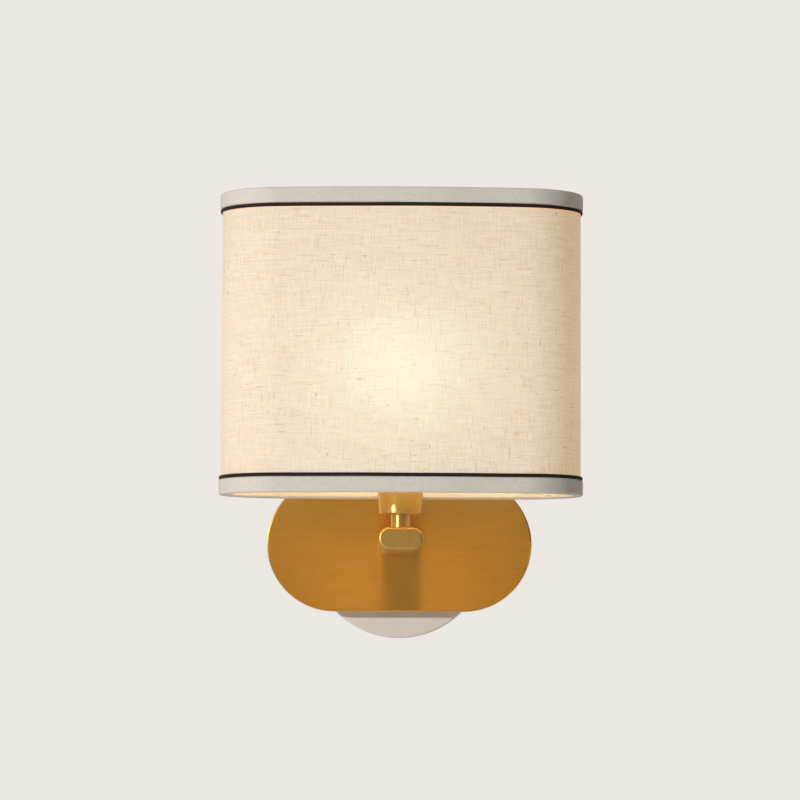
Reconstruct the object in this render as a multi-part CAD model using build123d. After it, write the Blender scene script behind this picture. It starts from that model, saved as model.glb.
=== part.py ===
from build123d import *
import math
import os

# Wall light with a fabric shade. A brass pan covers a bracket on a junction box, a white disc stands
# between them and the wall, and a flat oval arm carries a lampholder in a brass cup. The shade hangs
# on the lampholder by a recessed spider and is held down by a ring nut.
#
# Axes: +X to the right as seen from the front, -Y from the wall to the front, +Z up.
# Origin: on the wall, at the centre of the bracket's two slots, which is also the arm's height.
# Every size is in millimetres.

# ---- white disc on the wall ----
disc_diameter = 128.0
disc_thickness = 4.0
disc_edge_radius = 1.8
disc_drop = 3.0  # how far the disc's centre hangs below the arm's
disc_wire_hole = 36.0
disc_slot_margin = 1.0  # how much wider and longer all round its slots are than the bracket's

# ---- brass pan ----
plate_width = 190.0
plate_height = 96.0
plate_depth = 20.0
plate_wall = 1.5
plate_edge_radius = 1.0

# ---- bracket ----
bracket_thickness = 1.5
bar_length = 112.0
bar_height = 24.0
strap_width = 30.0
flange_depth = 12.0
flange_gap = 0.5  # between a flange and the inside of the pan
slot_spacing = 81.0
slot_length = 16.0
slot_width = 4.5
bracket_wire_hole = 22.0

# ---- grub screws that hold the pan to the bracket's flanges ----
grub_diameter = 4.0
grub_length = 6.0
grub_recess = 0.2
grub_socket = 2.0
grub_socket_depth = 2.5
grub_setback = 13.0  # from the pan's front face
grub_hole_gap = 0.15

# ---- arm ----
arm_width = 31.0
arm_height = 15.4
arm_wall = 1.8
arm_length = 106.0  # from the pan's face to the arm's front face
axis_setback = 16.0  # the lampholder's axis behind the arm's front face
cap_thickness = 3.0
cap_edge_radius = 1.7
plug_depth = 5.0
plug_gap = 0.1
block_depth = 12.0
arm_screw_diameter = 4.0
arm_screw_spacing = 18.0
arm_screw_grip = 8.0
arm_screw_head = 7.0
arm_screw_head_height = 2.4
arm_screw_head_edge = 0.8
arm_screw_cross_length = 3.5
arm_screw_cross_width = 0.8
arm_screw_cross_depth = 1.2
washer_diameter = 8.4
washer_thickness = 0.8

# ---- wire bush between the pan and the arm ----
bush_diameter = 8.0
bush_flange = 9.2
bush_flange_thickness = 1.0
bush_bore = 5.8
bush_length = 6.0

# ---- threaded nipple, its nut and the neck around it ----
nipple_diameter = 10.0
nipple_bore = 7.5
nipple_grip = 8.0  # how far it screws into the lampholder
nipple_tail = 1.4
nut_across_flats = 13.0
nut_thickness = 3.0
neck_diameter = 13.5
neck_length = 9.9

# ---- cup around the lampholder ----
cup_base_diameter = 29.8
cup_mouth_diameter = 34.2
cup_height = 34.4
cup_wall = 1.2
cup_floor = 1.4
cup_edge_radius = 0.5

# ---- lampholder, small screw size ----
holder_cap_diameter = 25.0
holder_cap_height = 16.0
holder_cap_wall = 2.0
holder_cap_floor = 9.5
holder_diameter = 28.0
holder_bore = 19.0
holder_height = 40.0
core_height = 12.4
terminal_spacing = 9.0
pin_diameter = 3.0
shell_height = 20.6
shell_wall = 0.5
contact_height = 2.5
contact_width = 4.0
contact_reach = 5.5  # from the axis to the end of its foot
contact_foot = 2.75
contact_slope = 1.65
contact_tongue = 2.75  # from the axis to the end of its tongue
contact_thickness = 0.6
thread_gap = 0.06  # radial play between a threaded piece and its mate

# ---- bulb ----
bulb_diameter = 45.0
bulb_wall = 0.8
bulb_centre_rise = 55.0  # from the bulb's contact to the middle of its glass
bulb_neck_diameter = 16.0
bulb_shoulder_radius = 12.0
bulb_cap_diameter = 13.9
bulb_cap_rib = 0.5
bulb_cap_pitch = 2.82
bulb_cap_turns = 5
bulb_tip_height = 0.9
bulb_tip_diameter = 5.0
bulb_tip_edge = 0.45
bulb_insulator_height = 3.6
bulb_skirt_height = 5.0
bulb_skirt_wall = 0.5
bulb_glass_entry = 2.0
stem_diameter = 5.0
stem_flare_diameter = 13.0
stem_height = 20.0
stem_wire = 0.7
filament_diameter = 1.4
filament_length = 26.0
filament_circle = 11.0
filament_count = 4

# ---- ring nut that holds the shade ----
ring_flange_diameter = 40.0
ring_flange_thickness = 2.4
ring_flange_edge = 0.8
ring_collar_diameter = 34.0
ring_height = 9.0
seat_gap = 0.1  # between pieces that turn on each other

# ---- shade ----
shade_width = 250.0
shade_depth = 100.0
shade_bow = 5.0  # how far the long sides bulge past the round ends
shade_height = 210.0
linen_thickness = 0.6
liner_thickness = 0.5
layer_gap = 0.05
band_proud = 1.6
band_height = 10.8
band_rim = 1.6
band_lining = 1.2
band_fold = 8.0
band_edge_radius = 1.1
piping_height = 2.6
piping_proud = 1.35
piping_edge_radius = 0.6
ring_wire = 3.0
fitter_recess = 22.0  # the spider's hub above the shade's lower rim
fitter_diameter = 44.0
fitter_thickness = 2.0
fitter_wire = 3.0
fitter_spare = 6.0  # extra length on the spider's wires before they are cut to fit
slit_gap = 0.3  # round a spider wire where it passes through the lower band

# ---- wiring inside the pan and the arm ----
lead_diameter = 2.0
lead_pair_spacing = 2.7
lead_offset = 12.0  # how far off the wall the leads leave the terminal block
lead_rise = 11.0  # straight up out of the terminal block
lead_entry = 3.0  # straight up into the lampholder
lead_bend = 5.0
terminal_pitch = 7.0
terminal_block_height = 15.0
terminal_block_depth = 12.0
terminal_block_margin = 5.5
terminal_block_gap = 1.8  # between the block and the end of the lower grub screw
terminal_row_spacing = 7.5
terminal_screw_diameter = 3.6
terminal_bore = 3.4
terminal_block_edge = 1.2
terminal_block_trough = 1.4
terminal_screw_recess = 1.0
terminal_screw_slot = 0.8  # its width and its depth
block_screw_diameter = 3.0
block_screw_head = 5.4
block_screw_head_height = 2.0
block_screw_slot_width = 0.9
block_screw_slot_depth = 1.0
block_counterbore = 2.5
earth_screw_x = 22.0
earth_screw_z = 5.0
earth_screw_diameter = 4.0
earth_screw_head = 7.0
earth_screw_head_height = 2.6
earth_screw_head_edge = 0.85
earth_screw_slot_width = 1.2
earth_screw_slot_depth = 1.3
earth_washer_diameter = 8.6
earth_washer_thickness = 0.8
lug_diameter = 9.0
lug_thickness = 1.0
lug_barrel_diameter = 4.0
lug_barrel_length = 6.0
lug_reach = 13.0  # from the earth screw down to where the lead enters
earth_bend = 4.0
earth_climb = 2.0  # how much the lead rises while it crosses to the earth screw

# ---- places that follow from the sizes ----
plate_front = disc_thickness + plate_depth
plate_inside = plate_front - plate_wall
bracket_front = disc_thickness + bracket_thickness
flange_face = plate_height / 2 - plate_wall - flange_gap
grub_depth = plate_front - grub_setback
arm_front = plate_front + arm_length
axis_reach = arm_front - axis_setback
tube_front = arm_front - cap_thickness
arm_top = arm_height / 2
arm_roof = arm_top - arm_wall
cup_base = arm_top + neck_length
cup_floor_top = cup_base + cup_floor
cup_top = cup_base + cup_height
nipple_bottom = arm_roof - nut_thickness - nipple_tail
nipple_top = cup_floor_top + nipple_grip
holder_base = cup_floor_top + holder_cap_height
holder_top = holder_base + holder_height
core_top = holder_base + core_height
bulb_tip = core_top + contact_height + seat_gap
bulb_centre = bulb_tip + bulb_centre_rise
thread_base = bulb_tip + bulb_tip_height + bulb_insulator_height
skirt_base = thread_base + bulb_cap_pitch * bulb_cap_turns
skirt_top = skirt_base + bulb_skirt_height
glass_foot = skirt_top - bulb_glass_entry
filament_bottom = glass_foot + stem_height
filament_top = filament_bottom + filament_length
shell_inner = bulb_cap_diameter + 2 * thread_gap
fitter_base = cup_top + seat_gap
ring_base = fitter_base + fitter_thickness + seat_gap
shade_base = fitter_base - fitter_recess
shade_top = shade_base + shade_height
liner_face = -linen_thickness - layer_gap
wire_face = liner_face - liner_thickness - layer_gap
wire_line = wire_face - ring_wire / 2
band_inside = wire_face - ring_wire - layer_gap - band_lining
wire_height = band_rim + layer_gap + ring_wire / 2
grub_end = plate_height / 2 - grub_recess - grub_length
block_bottom = terminal_block_gap - grub_end
block_top = block_bottom + terminal_block_height
block_middle = (block_top + block_bottom) / 2
block_length = 2 * terminal_pitch + 2 * terminal_block_margin
block_front = bracket_front + terminal_block_depth
block_screw_seat = block_front - block_counterbore
barrel_depth = bracket_front + lug_barrel_diameter / 2

ON_AXIS = Axis((0, -axis_reach, 0), (0, 0, 1))
FROM_BELOW = (Align.CENTER, Align.CENTER, Align.MIN)


# ---- helpers ----
def off_wall(outline, start, depth):
    """An upright outline as a prism that starts at a distance off the wall and runs to the front."""
    return extrude(Plane.XZ.offset(start) * outline, depth)


def post(diameter, low, high):
    """A round bar on the lampholder's axis, between two heights."""
    bar = Cylinder(diameter / 2, high - low, align=FROM_BELOW)
    return Pos(0, -axis_reach, low) * bar


def turned(profile):
    """A face of radius and height turned about the lampholder's axis."""
    return revolve(Plane.XZ.offset(axis_reach) * profile, ON_AXIS, 360)


def shade_outline(offset):
    """The shade seen from above, grown by an offset: two round ends joined by two bowed sides."""
    half_depth = shade_depth / 2
    end_radius = half_depth - shade_bow
    end_x = shade_width / 2 - end_radius
    bow_radius = (end_x**2 + half_depth**2 - end_radius**2) / (2 * shade_bow)
    bow_centre = bow_radius - half_depth
    turn = math.atan2(end_x, bow_centre)
    x = (bow_radius + offset) * math.sin(turn)
    y = (bow_radius + offset) * math.cos(turn) - bow_centre
    side = half_depth + offset
    end = shade_width / 2 + offset
    arcs = [
        ThreePointArc((x, -y), (end, 0), (x, y)),
        ThreePointArc((x, y), (0, side), (-x, y)),
        ThreePointArc((-x, y), (-end, 0), (-x, -y)),
        ThreePointArc((-x, -y), (0, -side), (x, -y)),
    ]
    return Wire(arcs)


def shade_prism(offset, low, high):
    """The shade's outline, grown by an offset, as a solid between two heights."""
    base = Pos(0, -axis_reach, low) * Face(shade_outline(offset))
    return extrude(base, high - low)


def shade_ring(inner, outer, low, high):
    """A wall that follows the shade's outline, between two offsets and two heights."""
    return shade_prism(outer, low, high) - shade_prism(inner, low, high)


def edges_at(solid, axis, place):
    """The solid's edges that lie at one place along an axis."""
    return solid.edges().filter_by_position(axis, place - 0.001, place + 0.001)


def lead_tube(points, radii):
    """A lead: a round tube along straight runs joined by tangent arcs."""
    path = FilletPolyline(*points, radius=radii)
    section = Plane(origin=path @ 0, z_dir=path % 0) * Circle(lead_diameter / 2)
    tube = sweep(section, path=path)
    expected = math.pi * lead_diameter**2 / 4 * path.length
    print(f"lead: length {path.length:.1f}, radii {radii}, volume {tube.volume / expected:.4f} of its run")
    return tube


def upright_stadium(width, height):
    """A flat oval outline, longer across than high."""
    return SlotOverall(width, height)


# ---- base on the wall ----
def wall_disc():
    disc = off_wall(Pos(0, -disc_drop) * Circle(disc_diameter / 2), 0, disc_thickness)
    disc = fillet(edges_at(disc, Axis.Y, -disc_thickness), disc_edge_radius)
    disc -= off_wall(Circle(disc_wire_hole / 2), 0, disc_thickness)
    slot = SlotOverall(slot_length + 2 * disc_slot_margin, slot_width + 2 * disc_slot_margin)
    for side in (-1, 1):
        disc -= off_wall(Pos(side * slot_spacing / 2, 0) * slot, 0, disc_thickness)
    return disc


def mounting_bracket():
    bar = Rectangle(bar_length, bar_height)
    strap = Rectangle(strap_width, 2 * flange_face)
    bracket = off_wall(bar + strap, disc_thickness, bracket_thickness)
    for side in (-1, 1):
        place = Pos(0, side * (flange_face - bracket_thickness / 2))
        bracket += off_wall(place * Rectangle(strap_width, bracket_thickness), disc_thickness, flange_depth)
    bracket -= off_wall(Circle(bracket_wire_hole / 2), disc_thickness, bracket_thickness)
    for side in (-1, 1):
        place = Pos(side * slot_spacing / 2, 0)
        bracket -= off_wall(place * SlotOverall(slot_length, slot_width), disc_thickness, bracket_thickness)
    bracket -= Pos(0, -grub_depth, 0) * Cylinder(grub_diameter / 2, plate_height)
    bracket -= off_wall(earth_place() * Circle(earth_screw_diameter / 2), 0, bracket_front)
    return bracket - off_wall(block_screw_place() * Circle(block_screw_diameter / 2), 0, bracket_front)


def backplate():
    pan = off_wall(upright_stadium(plate_width, plate_height), disc_thickness, plate_depth)
    pan = fillet(edges_at(pan, Axis.Y, -plate_front), plate_edge_radius)
    inside = upright_stadium(plate_width - 2 * plate_wall, plate_height - 2 * plate_wall)
    pan -= off_wall(inside, disc_thickness, plate_depth - plate_wall)
    pan -= off_wall(Circle(bush_diameter / 2 + thread_gap), plate_inside, plate_wall)
    for side in (-1, 1):
        hole = Circle(arm_screw_diameter / 2 + grub_hole_gap)
        pan -= off_wall(Pos(side * arm_screw_spacing / 2, 0) * hole, plate_inside, plate_wall)
    pan -= Pos(0, -grub_depth, 0) * Cylinder(grub_diameter / 2 + grub_hole_gap, plate_height)
    return pan


def grub_screws():
    screw = Pos(0, 0, grub_end) * Cylinder(grub_diameter / 2 - thread_gap, grub_length, align=FROM_BELOW)
    socket = RegularPolygon(grub_socket / math.sqrt(3), 6)
    screw -= extrude(Pos(0, 0, grub_end + grub_length - grub_socket_depth) * socket, grub_socket_depth)
    upper = Pos(0, -grub_depth, 0) * screw
    lower = mirror(upper, about=Plane.XY)
    return Compound(children=[upper.solid(), lower.solid()])


# ---- arm ----
def arm_outline(inset):
    """The arm's oval section, drawn in from its outer face."""
    return upright_stadium(arm_width - 2 * inset, arm_height - 2 * inset)


def arm_tube():
    tube = off_wall(arm_outline(0), plate_front, tube_front - plate_front)
    tube -= off_wall(arm_outline(arm_wall), plate_front, tube_front - plate_front)
    tube -= post(nipple_diameter + 2 * thread_gap, 0, arm_height)
    return tube


def arm_front_cap():
    cap = off_wall(arm_outline(0), tube_front, cap_thickness)
    cap = fillet(edges_at(cap, Axis.Y, -arm_front), cap_edge_radius)
    cap += off_wall(arm_outline(arm_wall + plug_gap), tube_front - plug_depth, plug_depth)
    return cap


def arm_rear_block():
    block = off_wall(arm_outline(arm_wall + plug_gap), plate_front, block_depth)
    block -= off_wall(Circle(bush_diameter / 2 + thread_gap), plate_front, block_depth)
    for side in (-1, 1):
        hole = Pos(side * arm_screw_spacing / 2, 0) * Circle(arm_screw_diameter / 2)
        block -= off_wall(hole, plate_front, arm_screw_grip + plug_gap)
    return block


def arm_screws():
    start = plate_inside - washer_thickness
    reach = plate_front + arm_screw_grip - start
    shank = off_wall(Circle(arm_screw_diameter / 2 - thread_gap), start, reach)
    head_start = start - arm_screw_head_height
    head = off_wall(Circle(arm_screw_head / 2), head_start, arm_screw_head_height)
    head = fillet(edges_at(head, Axis.Y, -head_start), arm_screw_head_edge)
    cross = Rectangle(arm_screw_cross_length, arm_screw_cross_width)
    cross += Rectangle(arm_screw_cross_width, arm_screw_cross_length)
    screw = shank + head - off_wall(cross, head_start, arm_screw_cross_depth)
    places = [Pos(side * arm_screw_spacing / 2, 0, 0) for side in (-1, 1)]
    return Compound(children=[(place * screw).solid() for place in places])


def arm_washers():
    ring = Circle(washer_diameter / 2) - Circle(arm_screw_diameter / 2 + grub_hole_gap)
    washer = off_wall(ring, plate_inside - washer_thickness, washer_thickness)
    places = [Pos(side * arm_screw_spacing / 2, 0, 0) for side in (-1, 1)]
    return Compound(children=[(place * washer).solid() for place in places])


def wire_bush():
    start = plate_inside - bush_flange_thickness
    bush = off_wall(Circle(bush_diameter / 2), plate_inside, bush_length)
    bush += off_wall(Circle(bush_flange / 2), start, bush_flange_thickness)
    return bush - off_wall(Circle(bush_bore / 2), start, bush_flange_thickness + bush_length)


# ---- neck and cup ----
def threaded_nipple():
    nipple = post(nipple_diameter - 2 * thread_gap, nipple_bottom, nipple_top)
    return nipple - post(nipple_bore, nipple_bottom, nipple_top)


def nipple_nut():
    hexagon = RegularPolygon(nut_across_flats / math.sqrt(3), 6)
    nut = extrude(Pos(0, -axis_reach, arm_roof - nut_thickness) * hexagon, nut_thickness)
    return nut - post(nipple_diameter, arm_roof - nut_thickness, arm_roof)


def neck_sleeve():
    sleeve = post(neck_diameter, arm_top, cup_base)
    return sleeve - post(nipple_diameter + 2 * thread_gap, arm_top, cup_base)


def socket_cup():
    base = cup_base_diameter / 2
    mouth = cup_mouth_diameter / 2
    outside = Polyline((0, cup_base), (base, cup_base), (mouth, cup_top), (0, cup_top), close=True)
    cup = turned(make_face(outside))
    cup = fillet(edges_at(cup, Axis.Z, cup_base), cup_edge_radius)
    low = base + cup_floor / cup_height * (mouth - base) - cup_wall
    high = mouth - cup_wall
    inside = Polyline((0, cup_floor_top), (low, cup_floor_top), (high, cup_top), (0, cup_top), close=True)
    cup -= turned(make_face(inside))
    return cup - post(nipple_diameter + 2 * thread_gap, cup_base, cup_floor_top)


# ---- lampholder ----
def holder_cap():
    room_base = cup_floor_top + holder_cap_floor
    cap = post(holder_cap_diameter, cup_floor_top, holder_base)
    cap -= post(nipple_diameter, cup_floor_top, room_base)
    return cap - post(holder_cap_diameter - 2 * holder_cap_wall, room_base, holder_base)


def holder_body():
    return post(holder_diameter, holder_base, holder_top) - post(holder_bore, holder_base, holder_top)


def core_pin(side, thickness):
    """A terminal pin through the core, above the end of one lead."""
    pin = Cylinder(thickness / 2, core_height, align=FROM_BELOW)
    return Pos(side * terminal_spacing / 2, -axis_reach, holder_base) * pin


def holder_core():
    core = post(holder_bore - 2 * thread_gap, holder_base, core_top)
    for side in (-1, 1):
        core -= core_pin(side, pin_diameter + 2 * thread_gap)
    return core


def core_pins():
    return Compound(children=[core_pin(side, pin_diameter).solid() for side in (-1, 1)])


def screw_shell():
    shell = post(shell_inner + 2 * shell_wall, core_top, core_top + shell_height)
    return shell - post(shell_inner, core_top, core_top + shell_height)


def centre_contact():
    """A bent strip: a foot on the core, a slope and a flat tongue under the bulb's tip."""
    bend = contact_foot - contact_reach
    crest = bend + contact_slope
    top = core_top + contact_height
    line = Polyline(
        (-contact_reach, core_top),
        (bend, core_top),
        (crest, top - contact_thickness),
        (contact_tongue, top - contact_thickness),
        (contact_tongue, top),
        (crest - contact_thickness / 2, top),
        (bend - contact_thickness / 2, core_top + contact_thickness),
        (-contact_reach, core_top + contact_thickness),
        close=True,
    )
    return extrude(Plane.XZ.offset(axis_reach - contact_width / 2) * make_face(line), contact_width)


# ---- bulb ----
def bulb_profile(inset):
    """Half of the bulb's glass outline: a sphere that runs through a hollow shoulder into the neck."""
    radius = bulb_diameter / 2 - inset
    neck = bulb_neck_diameter / 2 - inset
    shoulder = bulb_shoulder_radius + inset
    drop = math.sqrt((radius + shoulder) ** 2 - (neck + shoulder) ** 2)
    foot = bulb_centre - drop
    share = radius / (radius + shoulder)
    touch = ((neck + shoulder) * share, bulb_centre - drop * share)
    turn_down = math.degrees(math.atan2(touch[1] - bulb_centre, touch[0])) - 90
    sphere = CenterArc((0, bulb_centre), radius, 90, turn_down)
    turn = math.atan2(bulb_centre - foot, neck + shoulder)
    mid_angle = math.pi - turn / 2
    mid = (neck + shoulder + shoulder * math.cos(mid_angle), foot + shoulder * math.sin(mid_angle))
    waist = ThreePointArc(touch, mid, (neck, foot))
    end = Polyline((neck, foot), (neck, glass_foot), (0, glass_foot), (0, bulb_centre + radius))
    return make_face(sphere + waist + end)


def bulb_glass():
    shell = turned(bulb_profile(0)) - turned(bulb_profile(bulb_wall))
    return shell - post(bulb_neck_diameter - 2 * bulb_wall, skirt_base, skirt_top)


def bulb_cap():
    """The screw cap: rounded thread ribs, then a skirt that widens round the glass."""
    radius = bulb_cap_diameter / 2
    rib = radius - bulb_cap_rib
    skirt = bulb_neck_diameter / 2 + thread_gap + bulb_skirt_wall
    lines = [Line((0, thread_base), (rib, thread_base))]
    for turn in range(bulb_cap_turns):
        low = thread_base + turn * bulb_cap_pitch
        high = low + bulb_cap_pitch
        lines.append(ThreePointArc((rib, low), (radius, (low + high) / 2), (rib, high)))
    lines.append(Polyline((rib, skirt_base), (skirt, glass_foot), (skirt, skirt_top)))
    lines.append(Polyline((skirt, skirt_top), (0, skirt_top), (0, thread_base)))
    solid = turned(make_face(Curve() + lines))
    solid -= post(2 * (rib - bulb_skirt_wall), thread_base, skirt_top)
    return solid - post(bulb_neck_diameter + 2 * thread_gap, glass_foot, skirt_top)


def bulb_insulator():
    """The dark glass cone between the cap and its contact."""
    rib = bulb_cap_diameter / 2 - bulb_cap_rib
    tip = bulb_tip_diameter / 2
    low = bulb_tip + bulb_tip_height
    profile = Polyline((0, low), (tip, low), (rib, thread_base), (0, thread_base), close=True)
    return turned(make_face(profile))


def bulb_contact():
    tip = post(bulb_tip_diameter, bulb_tip, bulb_tip + bulb_tip_height)
    return fillet(edges_at(tip, Axis.Z, bulb_tip), bulb_tip_edge)


def filament_place(turn):
    """One of the filaments' directions round the lampholder's axis."""
    return Pos(0, -axis_reach, 0) * Rot(0, 0, (turn + 0.5) * 360 / filament_count)


def bulb_stem():
    """The glass stem: a flared foot on the cap's shoulder, a rod and two cross wires for the filaments."""
    flare = stem_flare_diameter / 2
    rod = stem_diameter / 2
    rim = glass_foot + rod
    throat = glass_foot + flare
    flared = Polyline((0, glass_foot), (flare, glass_foot), (flare, rim), (rod, throat))
    straight = Polyline((rod, throat), (rod, filament_top), (0, filament_top), (0, glass_foot))
    stem = turned(make_face(flared + straight))
    wire = Cylinder(stem_wire / 2, filament_circle / 2, rotation=(0, 90, 0), align=FROM_BELOW)
    for height in (filament_bottom, filament_top):
        for turn in range(filament_count):
            stem += filament_place(turn) * Pos(0, 0, height - stem_wire / 2) * wire
    return stem


def bulb_filaments():
    offset = (filament_circle + filament_diameter) / 2
    stick = Cylinder(filament_diameter / 2, filament_length, align=FROM_BELOW)
    stick = Pos(offset, 0, filament_bottom) * stick
    return Compound(children=[(filament_place(turn) * stick).solid() for turn in range(filament_count)])


# ---- ring nut and shade ----
def ring_nut():
    ring = post(ring_flange_diameter, ring_base, ring_base + ring_flange_thickness)
    ring = fillet(edges_at(ring, Axis.Z, ring_base + ring_flange_thickness), ring_flange_edge)
    ring += post(ring_collar_diameter, ring_base, ring_base + ring_height)
    return ring - post(holder_diameter + 2 * thread_gap, ring_base, ring_base + ring_height)


def shade_linen():
    return shade_ring(-linen_thickness, 0, shade_base + band_rim, shade_top - band_rim)


def shade_liner():
    inner = liner_face - liner_thickness
    return shade_ring(inner, liner_face, shade_base + band_rim, shade_top - band_rim)


def rim_band(height):
    """A tape folded over the lower rim: a skirt outside, a turn under the edge, a shorter skirt inside."""
    outside = layer_gap + band_proud
    band = shade_prism(outside, 0, height)
    band = fillet(edges_at(band, Axis.Z, 0), band_edge_radius)
    band -= shade_prism(band_inside, 0, height)
    band -= shade_ring(band_inside + band_lining, layer_gap, band_rim, height)
    return band - shade_ring(band_inside, band_inside + band_lining, band_fold, height)


def bottom_band():
    """The lower band, slit where the spider's wires come through its fold."""
    band = Pos(0, 0, shade_base) * rim_band(band_height)
    for wire in spider(fitter_wire + 2 * slit_gap):
        band -= wire
    return band


def top_band():
    return Pos(0, 0, shade_top) * mirror(rim_band(band_height), about=Plane.XY)


def piping(low):
    """A narrow cord sewn flat along the inner edge of a band."""
    high = low + piping_height
    cord = shade_prism(layer_gap + piping_proud, low, high)
    cord = fillet(edges_at(cord, Axis.Z, low) + edges_at(cord, Axis.Z, high), piping_edge_radius)
    return cord - shade_prism(layer_gap, low, high)


def bottom_piping():
    return piping(shade_base + band_height)


def top_piping():
    return piping(shade_top - band_height - piping_height)


def rim_wire(height, thickness):
    """A round wire ring inside the fold of a band."""
    path = Pos(0, -axis_reach, height) * shade_outline(wire_line)
    section = Plane(origin=path @ 0, z_dir=path % 0) * Circle(thickness / 2)
    return sweep(section, path=path)


def bottom_ring():
    return rim_wire(shade_base + wire_height, ring_wire)


def top_ring():
    return rim_wire(shade_top - wire_height, ring_wire)


def fitter_ring():
    hub = post(fitter_diameter, fitter_base, fitter_base + fitter_thickness)
    return hub - post(holder_diameter + 2 * thread_gap, fitter_base, fitter_base + fitter_thickness)


def fitter_arm(reach, thickness):
    """A wire from the edge of the hub, out and down to the inner face of the lower wire ring."""
    hub = fitter_diameter / 2
    hub_height = fitter_base + fitter_thickness / 2
    rim_height = shade_base + wire_height
    slope = math.degrees(math.atan2(hub_height - rim_height, reach - hub))
    length = math.hypot(reach - hub, rim_height - hub_height) + fitter_spare
    wire = Cylinder(thickness / 2, length, rotation=(0, 90, 0))
    wire = Pos((hub + reach) / 2, 0, (hub_height + rim_height) / 2) * Rot(0, slope, 0) * wire
    return Pos(0, -axis_reach, 0) * wire


def spider(thickness):
    """The four wires of the spider, a little too long, at a given thickness."""
    long_reach = shade_width / 2 + wire_line - ring_wire / 2
    short_reach = shade_depth / 2 + wire_line - ring_wire / 2
    reaches = (long_reach, short_reach, long_reach, short_reach)
    wires = [fitter_arm(reach, thickness) for reach in reaches]
    return [wire.rotate(ON_AXIS, 90 * turn) for turn, wire in enumerate(wires)]


def fitter_arms():
    """Four wires, cut to fit between the hub and the lower wire ring."""
    room = shade_prism(wire_line, shade_base, shade_top) - post(fitter_diameter, shade_base, shade_top)
    ring = rim_wire(shade_base + wire_height, ring_wire + 2 * layer_gap)
    arms = [(wire & room) - ring for wire in spider(fitter_wire)]
    return Compound(children=[arm.solids().sort_by(SortBy.VOLUME)[-1] for arm in arms])


# ---- wiring ----
def block_screw_place():
    """The fixing screw goes between two ways of the terminal block."""
    return Pos(-terminal_pitch / 2, block_middle)


def terminal_places():
    """Where the terminal screws stand: two in a column on each way."""
    columns = [way * terminal_pitch for way in (-1, 0, 1)]
    rows = [block_middle + side * terminal_row_spacing / 2 for side in (-1, 1)]
    return [Pos(column, row) for column in columns for row in rows]


def terminal_block():
    """A three-way insulated block with a bore for each lead and two screws over each bore."""
    outline = Pos(0, block_middle) * Rectangle(block_length, terminal_block_height)
    block = off_wall(outline, bracket_front, terminal_block_depth)
    block = fillet(block.edges().filter_by(Axis.Y), terminal_block_edge)
    for way in (-1, 0, 1):
        bore = Cylinder(terminal_bore / 2, terminal_block_height)
        block -= Pos(way * terminal_pitch, -lead_offset, block_middle) * bore
    for place in terminal_places():
        hole = place * Circle(terminal_screw_diameter / 2 + thread_gap)
        block -= off_wall(hole, lead_offset, block_front - lead_offset)
    trough = Rectangle(terminal_block_trough, terminal_block_height)
    for side in (-1, 1):
        place = Pos(side * terminal_pitch / 2, block_middle)
        block -= off_wall(place * trough, block_front - terminal_block_trough, terminal_block_trough)
    shank_hole = block_screw_place() * Circle(block_screw_diameter / 2 + thread_gap)
    head_hole = block_screw_place() * Circle(block_screw_head / 2 + thread_gap)
    block -= off_wall(shank_hole, bracket_front, terminal_block_depth)
    return block - off_wall(head_hole, block_screw_seat, block_counterbore)


def slotted_screw(place, shank_width, start, seat, head_width, head_height, slot_width, slot_depth):
    """A screw off the wall: a round shank, a flat round head and a slot across the head."""
    shank = off_wall(place * Circle(shank_width / 2), start, seat - start)
    head = off_wall(place * Circle(head_width / 2), seat, head_height)
    slot = place * Rectangle(head_width, slot_width)
    return shank + head - off_wall(slot, seat + head_height - slot_depth, slot_depth)


def block_screw():
    return slotted_screw(
        block_screw_place(), block_screw_diameter - 2 * thread_gap, disc_thickness, block_screw_seat,
        block_screw_head, block_screw_head_height, block_screw_slot_width, block_screw_slot_depth,
    )


def terminal_screws():
    start = lead_offset + terminal_bore / 2
    top = block_front - terminal_screw_recess
    screws = []
    for place in terminal_places():
        screw = off_wall(place * Circle(terminal_screw_diameter / 2), start, top - start)
        slot = place * Rectangle(terminal_screw_diameter, terminal_screw_slot)
        screw -= off_wall(slot, top - terminal_screw_slot, terminal_screw_slot)
        screws.append(screw.solid())
    return Compound(children=screws)


def earth_place():
    return Pos(earth_screw_x, earth_screw_z)


def earth_screw():
    seat = bracket_front + lug_thickness + earth_washer_thickness
    return slotted_screw(
        earth_place(), earth_screw_diameter - 2 * thread_gap, disc_thickness, seat,
        earth_screw_head, earth_screw_head_height, earth_screw_slot_width, earth_screw_slot_depth,
    )


def earth_washer():
    ring = Circle(earth_washer_diameter / 2) - Circle(earth_screw_diameter / 2)
    return off_wall(earth_place() * ring, bracket_front + lug_thickness, earth_washer_thickness)


def earth_lug():
    """A ring terminal: an eye under the screw, a tongue and a barrel crimped on the lead."""
    eye = Circle(lug_diameter / 2)
    barrel_top = -lug_reach + lug_barrel_length
    tongue = Pos(0, barrel_top / 2) * Rectangle(lug_barrel_diameter, -barrel_top)
    flat = (eye + tongue) - Circle(earth_screw_diameter / 2)
    lug = off_wall(earth_place() * flat, bracket_front, lug_thickness)
    barrel = Cylinder(lug_barrel_diameter / 2, lug_barrel_length, align=FROM_BELOW)
    return lug + Pos(earth_screw_x, -barrel_depth, earth_screw_z - lug_reach) * barrel


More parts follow.
